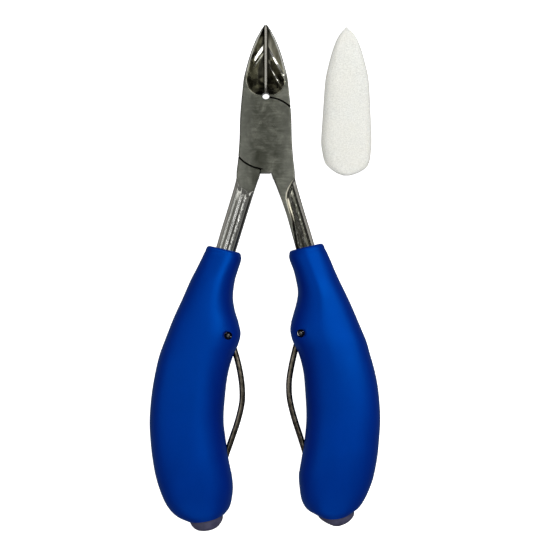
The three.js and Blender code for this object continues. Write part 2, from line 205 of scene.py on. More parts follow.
def face_out(obj):
    """Turns a closed mesh right side out."""
    mesh = obj.data
    mesh.calc_loop_triangles()
    n = len(mesh.loop_triangles)
    at = np.empty(n * 3, np.int32)
    mesh.loop_triangles.foreach_get("vertices", at)
    co = np.empty(len(mesh.vertices) * 3)
    mesh.vertices.foreach_get("co", co)
    t = co.reshape(-1, 3)[at.reshape(-1, 3)]
    if np.einsum("ij,ij->i", t[:, 0], np.cross(t[:, 1], t[:, 2])).sum() < 0:
        mesh.flip_normals()


def reshape(obj, change):
    """Passes a mesh's points, in metres, through change and keeps it right side out."""
    mesh = obj.data
    co = np.empty(len(mesh.vertices) * 3)
    mesh.vertices.foreach_get("co", co)
    mesh.vertices.foreach_set("co", change(co.reshape(-1, 3)).ravel())
    mesh.update()
    face_out(obj)
    return obj


def mirror(obj, sign):
    """The same piece, or for sign -1 its mirror image on the other side of x = 0."""
    return obj if sign > 0 else reshape(obj, lambda co: co * (-1, 1, 1))


def prism(name, outline, z0, z1):
    """An upright solid with a flat outline."""
    n = len(outline)
    points = [(x, y, z) for z in (z0, z1) for x, y in outline]
    faces = [tuple(range(n)), tuple(range(n, 2 * n))[::-1]]
    faces += [(i, i + n, (i + 1) % n + n, (i + 1) % n) for i in range(n)]
    obj = mesh_object(name, points, faces)
    face_out(obj)
    return obj


def post(name, x, y, profile, sides):
    """A turned solid on a vertical axis: profile is (radius, height) pairs."""
    rings = []
    for radius, z in profile:
        angles = 2 * np.pi * np.arange(sides) / sides
        rings.append(np.stack([x + radius * np.cos(angles), y + radius * np.sin(angles),
                               np.full(sides, z)], 1))
    return loft(name, rings)


def boolean(obj, operation, *others):
    """Cuts or joins obj with the others, one by one, and uses them up."""
    for other in others:
        change = obj.modifiers.new("cut", "BOOLEAN")
        change.operation = operation
        change.solver = "MANIFOLD"
        change.object = other
        bpy.context.view_layer.update()
        graph = bpy.context.evaluated_depsgraph_get()
        mesh = bpy.data.meshes.new_from_object(obj.evaluated_get(graph))
        obj.modifiers.clear()
        old, obj.data = obj.data, mesh
        bpy.data.meshes.remove(old)
        bpy.data.objects.remove(other)
    return obj


def shade(obj, angle):
    """Smooth shading with sharp edges above the angle, in degrees."""
    mesh = obj.data
    mesh.polygons.foreach_set("use_smooth", np.ones(len(mesh.polygons), bool))
    mesh.set_sharp_from_angle(angle=math.radians(angle))


def half_turn(points):
    """Half a turn about the long axis through the middle of the joint."""
    points = np.array(points, float)
    points[..., 0] *= -1
    points[..., 2] = HEAD_T - points[..., 2]
    return points


def section(row, grow=0.0, z=MID_Z, power=2.55, lean=0.5, crest=0.0, n=96):
    """A ring round a handle: a superellipse, fuller on the outer side by lean, with a mould
    crest whose flanks fall away by crest on both sides."""
    xi, yi, xo, yo, half, sag = row
    way = np.array([xo - xi, yo - yi])
    length = np.hypot(*way)
    way = way / length
    t = 2 * np.pi * (np.arange(n) + 0.5) / n
    p = power + lean * np.cos(t)
    u = np.sign(np.cos(t)) * np.abs(np.cos(t)) ** (2 / p)
    w = np.sign(np.sin(t)) * np.abs(np.sin(t)) ** (2 / p)
    x = (xi + xo) / 2 + (length / 2 + grow) * u * way[0]
    y = (yi + yo) / 2 + (length / 2 + grow) * u * way[1] - sag * (1 - u * u)
    ridge = crest * np.clip(1 - np.abs(u + 0.08) / 0.92, 0, 1) - crest
    height = (half + grow + ridge * (np.abs(w) > 0.2)) * w
    return np.stack([x, y, z + height], 1)


# Head and jaws

FINE_WIDTH = spline(HEAD_HALF_WIDTH, 6)


def fine_width(y):
    return float(np.interp(y, FINE_WIDTH[:, 0], FINE_WIDTH[:, 1]))


def along(y):
    """0 at the root of the jaws to 1 at the tips."""
    return min(1.0, max(0.0, (y - 14) / (TIP_Y - 14)))


def rim_z(y):
    return HEAD_T - RIM_DROP * along(y) ** RIM_POWER


def back_z(y):
    return 1.5 * along(y) ** 1.6


def jaw_front(u, y, w):
    """Front height of a jaw: a rim, a hollow-ground scoop and a raised cutting land."""
    land = min(LAND, 0.3 * w)
    edge = w - min(RIM, 0.25 * w)
    across = np.clip((u - land - 0.12) / max(0.01, edge - land - 0.12), 0, 1)
    start = SCOOP_Y + 3.6 * (u / 6.1) ** 3.9
    into = np.clip((y - start) / 6.5, 0, 1)
    depth = 1 - (1 - into) ** 2.6
    floor = 2.2 + 0.4 * along(y)
    low = floor + (rim_z(y) - floor) * (0.4 * across + 0.6 * across ** 2.5)
    low = low + LAND_H * np.clip((land + 0.1 - u) / 0.1, 0, 1)
    return rim_z(y) - (rim_z(y) - np.minimum(low, rim_z(y))) * depth


# Ground benches across the scoops, as (slope of the line, first, last) of y + slope * u.
BENCHES = {
    "left": [(1.5, 28.0, 29.6), (1.5, 26.5, 27.0)],
    "right": [(1.85, 27.9, 29.7), (1.85, 23.3, 24.5)],
}
BENCH_SLOPE = 0.26  # a bench's rise per millimetre outwards


def bench(u, z, y, side):
    """Gives the scoop's wall one slope along the benches and keeps its two ends in place."""
    flat = np.zeros(len(u))
    for k, first, last in BENCHES[side]:
        q = y + k * u
        flat = np.maximum(flat, np.clip((q - first) / 0.35 + 0.5, 0, 1)
                          * np.clip((last - q) / 0.35 + 0.5, 0, 1))
    flat = flat * np.clip((30.5 - y) / 2, 0, 1)
    if side == "left":
        flat = flat * np.clip((3.9 - u) / 0.5, 0, 1)
    du, slope = np.diff(u), np.diff(z) / np.maximum(np.diff(u), 1e-6)
    share = (flat[1:] + flat[:-1]) / 2
    share = share * (slope > BENCH_SLOPE * 0.5)
    fixed = (share * BENCH_SLOPE * du).sum()
    free = ((1 - share) * slope * du).sum()
    scale = np.clip((z[-1] - z[0] - fixed) / free if free > 1e-6 else 1, 0.4, 2.5)
    slope = share * BENCH_SLOPE + (1 - share) * slope * scale
    new = z[0] + np.concatenate([[0], np.cumsum(slope * du)])
    return new + (z[-1] - new[-1]) * (u - u[0]) / (u[-1] - u[0])


def head_ring(y, side_up):
    """A cross-section of the head, both jaws in one, with side_up's benches in its scoops."""
    w = min(fine_width(y), HEAD_MAX)
    land = min(LAND, 0.3 * w)
    edge = w - min(RIM, 0.25 * w)
    r = min(0.32, 0.14 * w)
    scoop = land + 0.1 + (edge - land - 0.1) * np.linspace(0, 1, 56)
    u = np.concatenate([[0, land * 0.7, land], scoop, [w - r]])
    top = jaw_front(u, y, w)
    if y > 14.5:
        top[3:-1] = bench(u[3:-1], top[3:-1], y, side_up)
    back = back_z(y)
    high, low = rim_z(y), back + 0.7 * along(y) ** 0.5
    turn = np.linspace(0, np.pi / 2, 6)[1:]
    right = [(a, b) for a, b in zip(u, top)]
    right += [(w - r + r * math.sin(a), high - r + r * math.cos(a)) for a in turn]
    right += [(w, high - r + (low + r - high + r) * k) for k in (0.25, 0.5, 0.75, 1)]
    right += [(w - r + r * math.cos(a), low + r - r * math.sin(a)) for a in turn]
    for k in (0.85, 0.7, 0.5, 0.3, 0.15, 0):
        s = (w - r) * k
        right.append((s, back + (low - back) * k ** 4))
    left = [(-x, z) for x, z in right[1:-1]][::-1]
    return [(x, y, z) for x, z in right + left]


def head_blank(side_up):
    ys = [-14.0] + list(np.arange(-13.4, 11.5, 1.4)) + list(np.arange(11.5, TIP_Y, 0.17)) + [TIP_Y]
    return loft("blank", [head_ring(y, side_up) for y in ys])


def arc(radius, a0, a1, n=60):
    angles = np.radians(np.linspace(a0, a1, n))
    return [(radius * math.cos(a), radius * math.sin(a)) for a in angles]


def angle_at(radius, x, below):
    """Where an arc crosses x, in degrees, above or below the x axis."""
    a = math.degrees(math.acos(x / radius))
    return 360 - a if below else a


def region(turned):
    """The space that one lever's head fills: the front layer and, outside the arcs, the back."""
    r_in, r_out = LAP_R - LAP_GAP / 2, LAP_R + LAP_GAP / 2
    front = [(JAW_X, 36), (-12, 36), (-12, -3)]
    front += arc(r_in, 200, angle_at(r_in, -1.5, True))
    front += [(-1.5, CROTCH_Y), (2.0, CROTCH_Y), (2.2, -14.5), (12, -14.5), (12, 3)]
    front += arc(r_in, 20, angle_at(r_in, 1.25, False))
    front += [(1.25, 11.6), (JAW_X, 11.6)]
    # The back layer stays a little inside the front one, so that no faces coincide.
    jaw = [(JAW_X - 0.003, 35.9), (-11.9, 35.9), (-11.9, 3.2)]
    jaw += arc(r_out, 162, 90.3)
    foot = arc(r_out, angle_at(r_out, 2.003, True), 342)
    foot += [(11.9, -3.2), (11.9, -14.4), (2.21, -14.4), (2.003, -12.41)]
    body = prism("front", front, UPPER, 9)
    back = prism("jaw", jaw, -1, 4.6)
    low = prism("foot", foot, -1, 4.6)
    boolean(body, "UNION", back, low)
    if turned:
        reshape(body, lambda co: half_turn(co * 1000) / 1000)
    return body


# Shanks

# Across a shank, s runs from -1 at the inner edge to 1 at the outer one.
# s and height of the forged bar, as a share of its half thickness.
BAR = [
    (-1.0, 0.36), (-0.95, 0.66), (-0.88, 0.82), (-0.78, 0.92), (-0.6, 0.975), (-0.2, 1.0),
    (0.2, 1.0), (0.48, 0.97), (0.57, 0.94), (0.6, 0.86), (0.64, 0.85), (0.68, 0.86),
    (0.8, 0.81), (0.92, 0.75), (0.97, 0.7), (1.0, 0.6),
]
SOFT_BAR = BAR[:7] + [(0.6, 0.96), (0.72, 0.91), (0.76, 0.84), (0.85, 0.8), (0.97, 0.7), (1.0, 0.6)]
GROUND_Z = 3.985  # height of the shanks' ground flats over the mid-plane
# y and s of the edge of the crescent-shaped flat.
CRESCENT = [
    (-39.0, -1.2), (-36.0, -0.8), (-31.0, -0.66), (-28.5, -0.56), (-26.1, -0.51), (-23.7, -0.52),
    (-20.5, -0.42), (-18.8, -0.2), (-17.2, 0.14), (-15.5, 0.62), (-14.2, 1.05), (-10, 1.6),
]
# s and y where the soft-edged flat ends.
SOFT = [(-1.0, -19.4), (-0.4, -19.2), (0.1, -18.4), (0.5, -17.6), (1.0, -15.6)]


def shank_height(s, y, thick, style, seed):
    """Height over the mid-plane across a shank: forged bar, or the ground flat at its top."""
    bar = np.interp(s, *zip(*(BAR if style == "crescent" else SOFT_BAR))) * thick
    wide = np.clip((1 - np.abs(s + 0.02) / 0.76) * 8, 0, 1)
    drift = 0.03 * np.sin(0.31 * y + seed) + 0.02 * np.sin(0.83 * y + 2 * seed)
    if style == "crescent":
        for groove in (0.47, 0.6):
            bar = bar - 0.14 * np.exp(-((s - groove) / 0.035) ** 2)
    else:
        phase = ((s + 0.09) / 0.52 + drift) % 1
        ridge = np.interp(phase, [0, 0.19, 0.45, 0.66, 1], [0, 0, 0.1, 0, 0])
        broken = np.clip((0.0 - s) / 0.3, 0.12, 1)
        wave = 0.3 * np.sin(1.9 * y + 2.2 * s) + 0.14 * np.sin(5.3 * y + 3 * s)
        bar = bar + wide * ridge * (1 + broken * wave)
    past = np.clip((np.abs(s) - 0.93) / 0.07, 0, 1)
    flat = GROUND_Z - 0.25 * past ** 2
    if style == "crescent":
        limit = np.interp(y, *zip(*CRESCENT))
        share = np.clip((limit + 0.1 - s) / 0.28, 0, 1)
        bar = bar - 0.2 * np.exp(-((s - limit - 0.18) / 0.12) ** 2) * (limit > -1)
    else:
        limit = np.interp(s, *zip(*SOFT))
        share = np.clip((y - limit + 0.8) / 2.2, 0, 1)
    share = share * share * (3 - 2 * share)
    return bar + (flat - bar) * share


def shank(turned, grow=0.0, seed=0.0):
    """A shank and its tang, with a crescent flat on one face and a soft one on the other."""
    table = np.array(SHANK)
    if not turned:
        table[:4, (0, 2)] = NARROW
    fine = spline(table, 40)
    # One more row inside the head, so that the two join well below the surface.
    fine = np.vstack([[*(fine[0, :2] + (fine[0, :2] - fine[8, :2]) * 2.0), *fine[0, 2:]], fine])
    visible = fine[:, 1] > -43
    keep = visible | (np.arange(len(fine)) % 8 == 0)
    keep[-1] = True
    step = np.gradient(fine[:, :2], axis=0)
    step /= np.linalg.norm(step, axis=1)[:, None]
    s = np.sin(np.linspace(-np.pi / 2, np.pi / 2, 110))
    s = 0.4 * s + 0.6 * np.linspace(-1, 1, 110)
    tops, unders = ("soft", "crescent") if turned else ("crescent", "soft")
    rings = []
    for (x, y, half, thick), (tx, ty) in zip(fine[keep], step[keep]):
        across = np.array([-ty, tx]) * (half + grow)
        side = np.array([x, y]) + np.outer(s, across)
        top = shank_height(s, side[:, 1], thick, tops, seed) + grow
        low = shank_height(s, side[:, 1], thick, unders, seed + 2) + grow
        rings.append(np.vstack([
            np.column_stack([side, MID_Z + top]),
            np.column_stack([side, MID_Z - low])[::-1],
        ]))
    return mirror(loft("shank", rings), -1 if turned else 1)


def lever(name, turned):
    """The right lever, or with turned the left one, whose head is turned over."""
    body = boolean(head_blank("right" if turned else "left"), "INTERSECT", region(turned))
    bar = shank(turned, seed=3.1 if turned else 0.4)
    r_out = LAP_R + LAP_GAP / 2
    lift = [(r_out, -1), (r_out, UPPER)]
    if turned:
        lift = [(r_out, HEAD_T - UPPER), (r_out, 9)]
    boolean(bar, "DIFFERENCE", post("quarter", 0, 0, lift, 160))
    boolean(body, "UNION", bar)
    x, y, r = THROAT
    hole = [(r + 0.25, -0.01), (r, 0.2), (r, 7.8), (r + 0.25, 8.01)]
    hole = [(r + 0.25, -1)] + hole + [(r + 0.25, 9)]
    boolean(body, "DIFFERENCE", post("throat", x, y, hole, 64))
    bore = [(RIVET_R + 0.05, -1), (RIVET_R + 0.05, 9)]
    boolean(body, "DIFFERENCE", post("bore", 0, 0, bore, 128))
    body.name = body.data.name = name
    shade(body, 28)
    return body


# Handles

def core_form(name, rows, lobe, grow, per=6):
    """The core's solid: the inside of the grip and the lobe at its end."""
    inside = spline(rows[CORE_FIRST:CORE_LAST], per)
    rings = [section(r, grow - SKIN_T - FIT) for r in inside]
    rings += [section(r, grow) for r in spline(lobe, per)]
    return loft(name, rings)


def slot_cut():
    return prism("slot", SLOT, MID_Z - SLOT_HALF, MID_Z + SLOT_HALF)


def surface_half(rows, at):
    """Half thickness of the grip at a point."""
    fine = spline(rows, 8)
    row = fine[np.argmin(np.abs(fine[:, 1] - at[1]))]
    ring = section(row)
    top = ring[ring[:, 2] > MID_Z]
    return np.interp(at[0], top[::-1, 0], top[::-1, 2]) - MID_Z


def collar(row, crest):
    """Rings that round off a grip's top, which rises towards the outer side."""
    way = row[2:4] - row[:2]
    length = np.hypot(*way)
    way = way / length
    ahead = np.array([-way[1], way[0], 0])
    rings = []
    for inset, rise in COLLAR:
        ring = section(row, grow=-inset, crest=crest)
        outward = (ring[:, :2] - row[:2]) @ way / length
        rings.append(ring + np.outer(rise * (0.5 + 0.5 * outward), ahead))
    return rings


def grip(side, sign, rows, lobe, at, crest):
    """The blue shell. The mould crest fades towards the bottom of the handle."""
    fine = spline(rows, 8)
    rings = collar(fine[COLLAR_AT], crest)
    for r in fine[COLLAR_AT:]:
        share = max(0.12, 1 - max(0, -r[1] - 50) / 40)
        rings.append(section(r, grow=GRIP_GROW, crest=crest * share))
    body = loft(f"{side}_grip", rings)
    high = surface_half(rows, at)
    hole = [(PIN_HOLE_R + 0.5, -14), (PIN_HOLE_R + 0.5, MID_Z - high),
            (PIN_HOLE_R, MID_Z - high + 0.35), (PIN_HOLE_R, MID_Z + high - 0.35),
            (PIN_HOLE_R + 0.5, MID_Z + high + 0.15), (PIN_HOLE_R + 0.5, 22)]
    boolean(
        body, "DIFFERENCE",
        core_form("cavity", rows, lobe, FIT),
        mirror(shank(sign < 0, grow=0.12), sign),
        slot_cut(),
        post("pin_hole", at[0], at[1], hole, 64),
    )
    mirror(body, sign)
    shade(body, 35)
    return body


def core(side, sign, rows, lobe, at):
    body = core_form(f"{side}_core", rows, lobe, 0)
    boolean(
        body, "DIFFERENCE",
        mirror(shank(sign < 0, grow=0.12), sign),
        slot_cut(),
        post("pin_hole", at[0], at[1], [(PIN_R + 0.05, -14), (PIN_R + 0.05, 22)], 48),
    )
    mirror(body, sign)
    shade(body, 35)
    return body


def pin(side, sign, rows, at):
    reach = surface_half(rows, at) - 0.6
    ends = [(0.12, reach), (0.3, reach - 0.02), (0.5, reach - 0.12), (0.75, reach - 0.36),
            (PIN_R, reach - 0.62)]
    profile = [(r, MID_Z - z) for r, z in ends] + [(r, MID_Z + z) for r, z in ends[::-1]]
    body = post(f"{side}_spring_pin", at[0], at[1], profile, 48)
    mirror(body, sign)
    shade(body, 40)
    return body


def wire(name, path, radius, closed=False, n=24):
    """A round wire in the middle plane, with one radius or one for each point."""
    path = np.asarray(path, float)
    step = np.gradient(path, axis=0)
    if closed:
        step = np.roll(path, -1, 0) - np.roll(path, 1, 0)
    step /= np.linalg.norm(step, axis=1)[:, None]
    turn = 2 * np.pi * np.arange(n) / n
    rings = []
    for r, (x, y), (tx, ty) in zip(np.broadcast_to(radius, len(path)), path, step):
        rings.append(np.stack([
            x - ty * r * np.cos(turn), y + tx * r * np.cos(turn), MID_Z + r * np.sin(turn),
        ], 1))
    if not closed:
        return loft(name, rings)
    around = len(rings)
    faces = []
    for i in range(around):
        here, there = i * n, (i + 1) % around * n
        faces += [(here + j, here + (j + 1) % n, there + (j + 1) % n, there + j) for j in range(n)]
    obj = mesh_object(name, np.vstack(rings), faces)
    face_out(obj)
    return obj


def spring(side, sign, points, at):
    path = spline(points, 12)
    radius = np.full(len(path), WIRE_R)
    radius[-4:] *= (0.9, 0.8, 0.62, 0.35)
    body = wire(f"{side}_spring", path, radius)
    angles = 2 * np.pi * np.arange(72) / 72
    eye = np.stack([at[0] + EYE_R * np.cos(angles), at[1] + EYE_R * np.sin(angles)], 1)
    boolean(body, "UNION", wire("eye", eye, WIRE_R, closed=True))
    mirror(body, sign)
    shade(body, 40)
    return body


def tip_guard():
    outer = [
        section((x0, y, x1, y, GUARD_THIN * half, 0), 0, GUARD_MID_Z, 3.4, 0.7)
        for y, x0, x1, half in spline(GUARD, 10)
    ]
    body = loft("tip_guard_sheath", outer)
    # The hollow starts below the open end and stops short of the tip.
    kept = [(-16, 17.9, 33.5, 4.4), (-8, 17.9, 33.5, 4.4)]
    kept += [r for r in GUARD if -8 < r[0] < 33]
    inner = [
        section((x0, y, x1, y, half, 0), -GUARD_WALL, GUARD_MID_Z, 2.8, 0)
        for y, x0, x1, half in spline(kept, 6)
    ]
    boolean(body, "DIFFERENCE", loft("hollow", inner))
    shade(body, 40)
    return body


# Materials

def linear(r, g, b):
    """sRGB from 0 to 255 as scene-linear colour."""
    values = [v / 255 for v in (r, g, b)]
    return tuple(v / 12.92 if v < 0.04045 else ((v + 0.055) / 1.055) ** 2.4 for v in values) + (1,)


class Finish:
    """A material with one Principled shader and helpers for the nodes that drive it."""

    def __init__(self, name, **values):
        self.material = bpy.data.materials.new(name)
        self.material.use_nodes = True
        self.nodes = self.material.node_tree.nodes
        self.links = self.material.node_tree.links
        self.shader = self.nodes["Principled BSDF"]
        for key, value in values.items():
            self.shader.inputs[key.replace("_", " ")].default_value = value
        self.place = self.nodes.new("ShaderNodeTexCoord").outputs["Object"]

    def put(self, socket, value):
        if isinstance(value, bpy.types.NodeSocket):
            self.links.new(value, socket)
        else:
            socket.default_value = value

    def scaled(self, x, y, z, turn=0.0):
        node = self.nodes.new("ShaderNodeMapping")
        self.links.new(self.place, node.inputs["Vector"])
        node.inputs["Scale"].default_value = (x, y, z)
        node.inputs["Rotation"].default_value = (0, 0, math.radians(turn))
        return node.outputs["Vector"]

    def noise(self, scale, detail=4, rough=0.5, at=None, distortion=0.0):
        node = self.nodes.new("ShaderNodeTexNoise")
        self.links.new(at or self.place, node.inputs["Vector"])
        node.inputs["Scale"].default_value = scale
        node.inputs["Detail"].default_value = detail
        node.inputs["Roughness"].default_value = rough
        node.inputs["Distortion"].default_value = distortion
        return node.outputs["Fac"]

    def cells(self, scale, at=None):
        node = self.nodes.new("ShaderNodeTexVoronoi")
        self.links.new(at or self.place, node.inputs["Vector"])
        node.inputs["Scale"].default_value = scale
        return node.outputs["Distance"]

    def ramp(self, value, *stops):
        node = self.nodes.new("ShaderNodeValToRGB")
        self.links.new(value, node.inputs["Fac"])
        elements = node.color_ramp.elements
        while len(elements) < len(stops):
            elements.new(0.5)
        for element, (at, colour) in zip(elements, stops):
            element.position = at
            if not hasattr(colour, "__len__"):
                colour = (colour, colour, colour, 1)
            element.color = colour
        return node.outputs["Color"]

    def range(self, value, a, b, c=0.0, d=1.0):
        node = self.nodes.new("ShaderNodeMapRange")
        self.put(node.inputs["Value"], value)
        for key, number in zip(("From Min", "From Max", "To Min", "To Max"), (a, b, c, d)):
            node.inputs[key].default_value = number
        return node.outputs["Result"]

    def math(self, operation, a, b=0.0):
        node = self.nodes.new("ShaderNodeMath")
        node.operation = operation
        self.put(node.inputs[0], a)
        self.put(node.inputs[1], b)
        return node.outputs["Value"]

    def mix(self, factor, a, b):
        node = self.nodes.new("ShaderNodeMix")
        node.data_type = "RGBA"
        self.put(node.inputs[0], factor)
        # A Mix node has a set of sockets for each kind of value: its colours are at 6, 7 and 2.
        for at, value in ((6, a), (7, b)):
            if isinstance(value, float):
                value = (value, value, value, 1)
            self.put(node.inputs[at], value)
        return node.outputs[2]

    def band(self, value, first, last, soft):
        """1 between first and last, with soft edges inside them."""
        return self.both(
            self.range(value, first, first + soft), self.range(value, last, last - soft),
        )

    def both(self, *masks):
        """Masks multiplied."""
        total = masks[0]
        for mask in masks[1:]:
            total = self.math("MULTIPLY", total, mask)
        return total

    def most(self, *masks):
        """The largest of some masks."""
        total = masks[0]
        for mask in masks[1:]:
            total = self.math("MAXIMUM", total, mask)
        return total

    def paint(self, colour, *layers):
        """Layers are (mask, sRGB numbers or a colour socket), each laid over the last."""
        for mask, over in layers:
            socket = isinstance(over, bpy.types.NodeSocket)
            colour = self.mix(mask, colour, over if socket else linear(*over))
        return colour

    def axis(self, name):
        node = self.nodes.new("ShaderNodeSeparateXYZ")
        self.links.new(self.place, node.inputs["Vector"])
        return node.outputs[name]

    def bump(self, *layers):
        """Layers are (height, strength, distance in millimetres)."""
        last = None
        for height, strength, distance in layers:
            node = self.nodes.new("ShaderNodeBump")
            self.links.new(height, node.inputs["Height"])
            self.put(node.inputs["Strength"], strength)
            node.inputs["Distance"].default_value = distance / 1000
            if last:
                self.links.new(last, node.inputs["Normal"])
            last = node.outputs["Normal"]
        self.links.new(last, self.shader.inputs["Normal"])

    def set(self, name, value):
        self.links.new(value, self.shader.inputs[name])

    def on(self, *objects):
        for obj in objects:
            obj.data.materials.clear()
            obj.data.materials.append(self.material)


class Steel(Finish):
    """Ground flats, polished scoops and forged shanks on one piece, told apart by place.

    Places are in metres and colours are sRGB numbers. Each mask is 0 to 1.
    """

    DARK = (50, 51, 44)
    EDGE = (84, 84, 78)
    SHINE = (250, 250, 244)

    def __init__(self):
        super().__init__("tool_steel_ground_and_forged", Metallic=1.0)
        self.x, self.y, self.z = (self.axis(name) for name in "XYZ")
        self.aside = self.math("ABSOLUTE", self.x)
        self.right = self.range(self.x, 0.003, 0.005)
        # Height with the slope of the jaws' front taken out, so that the rims are at HEAD_T.
        drop = self.math("POWER", self.range(self.y, 0.014, TIP_Y / 1000), RIM_POWER)
        self.rim = self.math("ADD", self.z, self.math("MULTIPLY", drop, RIM_DROP / 1000))
        self.flat = self.most(
            self.range(self.z, 0.00792, 0.00797), self.range(self.rim, 0.00790, 0.00796),
            self.range(self.z, 0.00008, 0.00003),
        )
        rest = self.math("SUBTRACT", 1.0, self.flat)
        self.jaw = self.both(self.range(self.y, 0.0117, 0.0120), rest)
        self.below = self.range(self.y, -0.0135, -0.0150)
        self.forge = self.both(self.below, rest)
        self.land = self.range(self.aside, 0.00046, 0.00040)
        self.outer = self.outer_edge()
        self.blotch = self.noise(260, 5, 0.62, distortion=0.8)
        self.cloud = self.noise(95, 3, 0.5)
        self.strokes = self.noise(900, 3, 0.6, self.scaled(0.35, 1.6, 1, 8))
        self.along_bar = self.noise(420, 4, 0.6, self.scaled(1.0, 0.16, 1.0))
        self.pits = self.noise(1500, 3, 0.6, self.scaled(1, 0.45, 1))
        colour = self.mix(self.jaw, self.ground(), self.scoop())
        colour = self.mix(self.forge, colour, self.forged())
        self.set("Base Color", self.mix(self.lap_gap(), colour, linear(12, 11, 9)))
        self.set("Roughness", self.roughness())
        grain = self.noise(5200, 2, 0.6)
        pitted = self.math("ADD", self.math("MULTIPLY", self.right, 0.9), 0.04)
        self.bump(
            (self.strokes, self.math("MULTIPLY", self.flat, 0.35), 0.02),
            (grain, self.math("MULTIPLY", self.flat, 0.3), 0.01),
            (self.pits, self.both(self.forge, pitted), 0.07),
            (self.noise(900, 2, 0.5), self.math("MULTIPLY", self.jaw, 0.06), 0.03),
        )

    def outer_edge(self):
        """The rounded outer edge of the jaws. The ramp holds the head's half width along y."""
        first, last = 14, TIP_Y
        stops = [(at, min(fine_width(first + at * (last - first)), HEAD_MAX) / 10)
                 for at in np.linspace(0, 1, 14)]
        width = self.ramp(self.range(self.y, first / 1000, last / 1000), *stops)
        past = self.math("SUBTRACT", self.aside, self.math("MULTIPLY", width, 0.01))
        return self.both(self.range(past, -0.00038, -0.00024), self.range(self.y, 0.016, 0.018))

    def ground(self):
        """The flats: blotches, fine strokes, lighter sides, and the jaws' rims lighter still as a
        painted highlight.
        """
        spread = self.math("ADD", self.math("MULTIPLY", self.blotch, 0.6),
                           self.math("MULTIPLY", self.cloud, 0.4))
        colour = self.ramp(
            spread,
            (0.36, linear(*self.DARK)), (0.48, linear(69, 70, 63)), (0.63, linear(98, 99, 90)),
        )
        wide = self.range(self.aside, 0.003, 0.009)
        lighter = self.range(self.x, 0.002, 0.004, 0.6, 0.4)
        return self.paint(
            colour,
            (self.range(self.strokes, 0.4, 0.65, 0.0, 0.5), self.DARK),
            (self.both(wide, lighter), (108, 109, 102)),
            # The jaws' rims are lighter still: a painted highlight.
            (self.range(self.y, 0.0175, 0.0205, 0.0, 0.8), (172, 172, 166)),
            (self.outer, self.EDGE),
        )

    def scoop(self):
        """The scoops: dark and polished, with a satin band and painted highlights across the
        benches, painted shade in the bowls and beside the land, and a painted highlight below the
        rims.
        """
        colour = self.ramp(
            self.noise(330, 4, 0.55), (0.3, linear(88, 87, 75)), (0.7, linear(132, 131, 118)),
        )
        # The right scoop's bands lean one way and the left scoop's the other, as BENCHES do.
        lean = self.math("ADD", self.y, self.math("MULTIPLY", self.x, BENCHES["right"][0][0]))
        # A satin band on the right scoop: its rougher finish is real, and its light colour is a
        # painted sheen.
        self.brushed_and_sheen = self.both(
            self.range(lean, 0.0292, 0.0296), self.range(self.x, 0.0006, 0.0010),
        )
        layers = [(self.brushed_and_sheen, (206, 204, 188))]
        # Painted highlight lines across the right scoop's benches.
        for first, last in ((0.0282, 0.0292), (0.0234, 0.0240)):
            line = self.both(
                self.band(lean, first, last, 0.0002),
                self.range(self.x, 0.0010, 0.0016, 0.0, 0.8), self.range(self.x, 0.0052, 0.0042),
            )
            layers.append((line, self.SHINE))
        lean = self.math("SUBTRACT", self.y, self.math("MULTIPLY", self.x, BENCHES["left"][0][0]))
        # A painted highlight on the left scoop's upper bench.
        patch = self.both(
            self.band(lean, 0.0280, 0.0296, 0.0004),
            self.range(self.x, -0.0008, -0.0012), self.range(self.x, -0.0036, -0.0032),
        )
        # A band of painted shade on the left scoop's lower bench.
        thin = self.both(
            self.band(lean, 0.0264, 0.0271, 0.0002),
            self.range(self.x, -0.0010, -0.0016), self.range(self.x, -0.0046, -0.0040),
        )
        # Painted shade in the scoops' lower bowls and in a small area near the land.
        deep = self.both(self.range(self.aside, 0.0034, 0.0022), self.range(self.y, 0.0225, 0.0205))
        spot = self.both(self.range(self.aside, 0.0026, 0.0018), self.range(self.y, 0.0192, 0.0182))
        return self.paint(
            colour, *layers,
            (patch, (240, 240, 238)),
            (thin, (96, 96, 90)),
            (self.math("MULTIPLY", deep, 0.65), (52, 50, 37)),
            (self.math("MULTIPLY", spot, 0.85), (26, 25, 18)),
            # Painted shade beside the land.
            (self.range(self.aside, 0.0016, 0.0006), (20, 19, 14)),
            # A painted highlight just below the rims.
            (self.range(self.rim, 0.00725, 0.00770), (238, 238, 228)),
            (self.outer, self.EDGE),
            (self.land, (128, 126, 117)),
        )

    def forged(self):
        """The shanks: painted highlight streaks with painted shade between them on the left one, a
        dark pitted face on the right one.

        The right one also has a cream band, both have a pale outer strip, and the right one
        a bright lip next to the crescent: all three are painted highlights.
        """
        colour = self.ramp(
            self.along_bar, (0.3, linear(126, 125, 116)), (0.6, linear(180, 180, 174)),
        )
        over = self.math("ADD", self.aside, self.math("MULTIPLY", self.y, SHANK_LEAN))
        first, last = -1.8, 4.8
        # The left shank's painted highlight streaks, with painted shade between them.
        lines = self.ramp(self.range(over, first / 1000, last / 1000), *(
            ((at - STREAK_SHIFT - first) / (last - first), linear(v, v, v - 5)) for at, v in STREAKS
        ))
        # How much of the painted streaks shows: none above y -18.5 mm, most below -21.5 mm, varied
        # by noise.
        streak_share = self.both(self.range(self.y, -0.0185, -0.0215),
                         self.range(self.along_bar, 0.25, 0.5, 0.65, 1.0))
        # The cream band on the right shank's inner edge is a painted highlight.
        self.cream = self.both(
            self.range(self.y, -0.0280, -0.0225), self.range(self.y, -0.0195, -0.0212),
            self.range(self.pits, 0.38, 0.5, 0.4, 1.0),
            self.both(self.range(over, 0.0010, 0.0005), self.right),
        )
        # The pale outer strip on both shanks is a painted highlight.
        self.strip = self.both(self.range(over, 0.00350, 0.00365), self.below)
